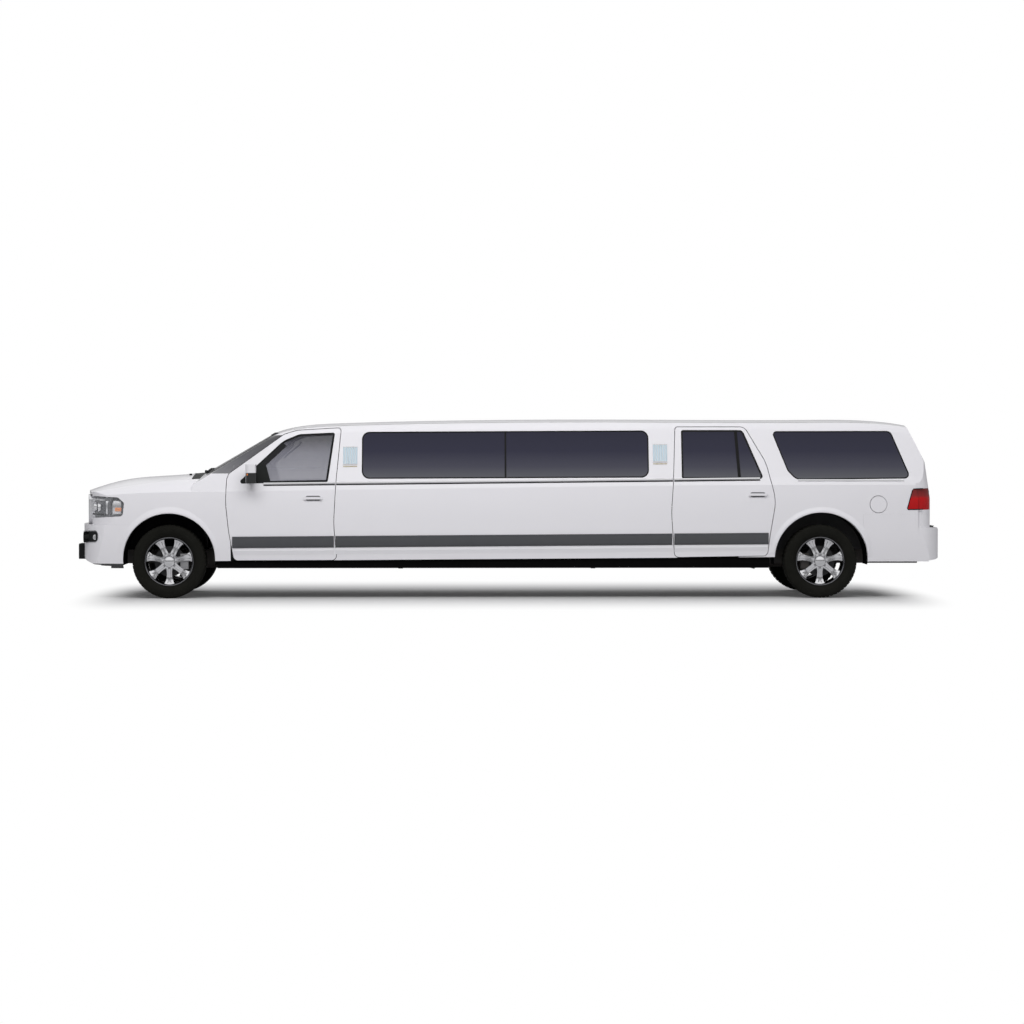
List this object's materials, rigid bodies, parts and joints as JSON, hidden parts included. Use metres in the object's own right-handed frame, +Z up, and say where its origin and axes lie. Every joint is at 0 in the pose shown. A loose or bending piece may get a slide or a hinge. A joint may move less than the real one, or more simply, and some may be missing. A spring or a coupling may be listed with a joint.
{
  "type": "stretch limousine",
  "caption": "Long stretch limousine on a full-size SUV body: hinged doors, hood and liftgate, steered front wheels, dark side glass, hollow cabin with lounge seating.",
  "frame": {"origin": "floor level, at the middle of the overall length and width", "axes": "+X runs rearward along the vehicle, +Y to the vehicle's right, +Z up"},
  "size_m": [9.646, 2.37, 1.977],
  "materials": {
    "paint": "gloss white",
    "mirror_shell": "gloss",
    "dark_glass": "privacy tint",
    "clear_glass": "light tint",
    "chrome": "polished",
    "tyre": "matt",
    "lamp_clear": "clear lens",
    "lamp_red": "gloss lens",
    "black_plastic": "grained",
    "frame_metal": "painted black",
    "engine_metal": "as cast",
    "tank_plastic": "moulded",
    "floor_metal": "underseal",
    "dash_plastic": "soft grain",
    "seat_leather": "soft",
    "cabinet_wood": "lacquered"
  },
  "bodies": {
    "body": {"bar_cabinet": "cabinet_wood", "cabin_frame": "paint", "chassis_frame": "frame_metal", "coach_lamps": "lamp_clear", "cowl": "black_plastic", "dashboard": "dash_plastic", "driveline": "frame_metal", "engine": "engine_metal", "exhaust": "frame_metal", "fender_left": "paint", "fender_right": "paint", "fixed_side_glass": "dark_glass", "floor_pan": "floor_metal", "front_bumper": "paint", "front_lamps": "lamp_clear", "front_seats": "seat_leather", "front_suspension": "frame_metal", "fuel_tank": "tank_plastic", "grille": "chrome", "lounge_seats": "seat_leather", "partition": "cabinet_wood", "plate_bracket": "black_plastic", "quarter_panel_left": "paint", "quarter_panel_right": "paint", "rear_bench": "seat_leather", "rear_bumper": "paint", "rear_suspension": "frame_metal", "rockers": "black_plastic", "roof": "paint", "side_panel_left": "paint", "side_panel_right": "paint", "tail_lamps": "lamp_red", "wheel_liners": "black_plastic", "windscreen": "clear_glass"},
    "hood": {"hood": "paint"},
    "liftgate": {"liftgate": "paint", "liftgate_glass": "dark_glass"},
    "door_front_left": {"door_front_left": "paint", "glass_front_left": "clear_glass", "mirror_left": "mirror_shell"},
    "door_front_right": {"door_front_right": "paint", "glass_front_right": "clear_glass", "mirror_right": "mirror_shell"},
    "door_rear_left": {"door_rear_left": "paint", "glass_rear_left": "dark_glass"},
    "door_rear_right": {"door_rear_right": "paint", "glass_rear_right": "dark_glass"},
    "fuel_door": {"fuel_door": "paint"},
    "steering_wheel": {"steering_wheel": "black_plastic"},
    "knuckle_left": {"knuckle_left": "frame_metal"},
    "knuckle_right": {"knuckle_right": "frame_metal"},
    "wheel_front_left": {"tyre_front_left": "tyre", "rim_front_left": "chrome"},
    "wheel_front_right": {"tyre_front_right": "tyre", "rim_front_right": "chrome"},
    "wheel_rear_left": {"tyre_rear_left": "tyre", "rim_rear_left": "chrome"},
    "wheel_rear_right": {"tyre_rear_right": "tyre", "rim_rear_right": "chrome"}
  },
  "joints": [
    {"name": "hood_hinge", "type": "hinge", "parent": "body", "child": "hood", "pos_m": [-3.505, 0, 1.378], "axis": [0, 1, 0], "range_deg": [0, 50]},
    {"name": "liftgate_hinge", "type": "hinge", "parent": "body", "child": "liftgate", "pos_m": [4.466, 0, 1.888], "axis": [0, -1, 0], "range_deg": [0, 80]},
    {"name": "door_front_left_hinge", "type": "hinge", "parent": "body", "child": "door_front_left", "pos_m": [-3.073, -0.991, 0.9], "axis": [0, 0, -1], "range_deg": [0, 65]},
    {"name": "door_front_right_hinge", "type": "hinge", "parent": "body", "child": "door_front_right", "pos_m": [-3.073, 0.991, 0.9], "axis": [0, 0, 1], "range_deg": [0, 65]},
    {"name": "door_rear_left_hinge", "type": "hinge", "parent": "body", "child": "door_rear_left", "pos_m": [1.837, -0.991, 0.9], "axis": [0, 0, -1], "range_deg": [0, 65]},
    {"name": "door_rear_right_hinge", "type": "hinge", "parent": "body", "child": "door_rear_right", "pos_m": [1.837, 0.991, 0.9], "axis": [0, 0, 1], "range_deg": [0, 65]},
    {"name": "fuel_door_hinge", "type": "hinge", "parent": "body", "child": "fuel_door", "pos_m": [3.989, -1.002, 1.034], "axis": [0, 0, -1], "range_deg": [0, 95]},
    {"name": "steer_left", "type": "hinge", "parent": "body", "child": "knuckle_left", "pos_m": [-3.739, -0.795, 0.405], "axis": [0, 0, 1], "range_deg": [-35, 35]},
    {"name": "steer_right", "type": "hinge", "parent": "body", "child": "knuckle_right", "pos_m": [-3.739, 0.795, 0.405], "axis": [0, 0, 1], "range_deg": [-35, 35]},
    {"name": "steering_wheel_turn", "type": "hinge", "parent": "body", "child": "steering_wheel", "pos_m": [-2.64894, -0.43, 1.14478], "axis": [0.9135, 0, 0.4067], "range_deg": [-525, 525]},
    {"name": "wheel_front_left_spin", "type": "hinge", "parent": "knuckle_left", "child": "wheel_front_left", "pos_m": [-3.739, -0.85, 0.405], "axis": [0, 1, 0], "continuous": true},
    {"name": "wheel_front_right_spin", "type": "hinge", "parent": "knuckle_right", "child": "wheel_front_right", "pos_m": [-3.739, 0.85, 0.405], "axis": [0, 1, 0], "continuous": true},
    {"name": "wheel_rear_left_spin", "type": "hinge", "parent": "body", "child": "wheel_rear_left", "pos_m": [3.438, -0.85, 0.405], "axis": [0, 1, 0], "continuous": true},
    {"name": "wheel_rear_right_spin", "type": "hinge", "parent": "body", "child": "wheel_rear_right", "pos_m": [3.438, 0.85, 0.405], "axis": [0, 1, 0], "continuous": true}
  ],
  "couplings": [
    {"joint": "steer_right", "follows": "steer_left", "ratio": 1},
    {"joint": "steering_wheel_turn", "follows": "steer_left", "ratio": 15}
  ]
}
